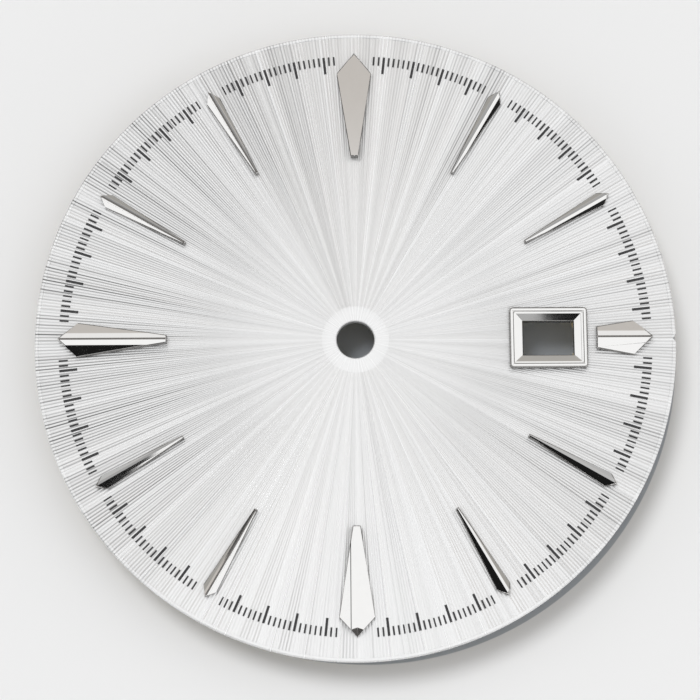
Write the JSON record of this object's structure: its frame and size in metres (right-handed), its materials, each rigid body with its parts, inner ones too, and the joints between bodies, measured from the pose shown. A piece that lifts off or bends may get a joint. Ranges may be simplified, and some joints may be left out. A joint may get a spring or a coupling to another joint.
{
  "type": "watch dial",
  "caption": "Round wristwatch dial with radial flutes, applied faceted hour markers, a framed date window and two soldered feet on the back.",
  "frame": {"origin": "on the axis of the centre hole, in the plane of the plate's back", "axes": "+Z along the centre hole, out of the face; +Y towards 12 o'clock; +X towards 3 o'clock and the date window"},
  "size_m": [0.0284, 0.0284, 0.003],
  "materials": {
    "silvered_brass": "satin",
    "polished_metal": "polished",
    "black_ink": "matte",
    "copper": "satin",
    "solder": "satin",
    "clear_cement": "gloss"
  },
  "bodies": {
    "root": {"dial_plate": "silvered_brass", "hour_index_01": "polished_metal", "hour_index_02": "polished_metal", "hour_index_03": "polished_metal", "hour_index_04": "polished_metal", "hour_index_05": "polished_metal", "hour_index_06": "polished_metal", "hour_index_07": "polished_metal", "hour_index_08": "polished_metal", "hour_index_09": "polished_metal", "hour_index_10": "polished_metal", "hour_index_11": "polished_metal", "hour_index_12": "polished_metal", "date_window_frame": "polished_metal", "minute_track": "black_ink", "dial_foot_a": "copper", "dial_foot_b": "copper", "foot_solder": "solder", "index_foot_cement": "clear_cement", "frame_foot_cement": "clear_cement"}
  },
  "joints": []
}
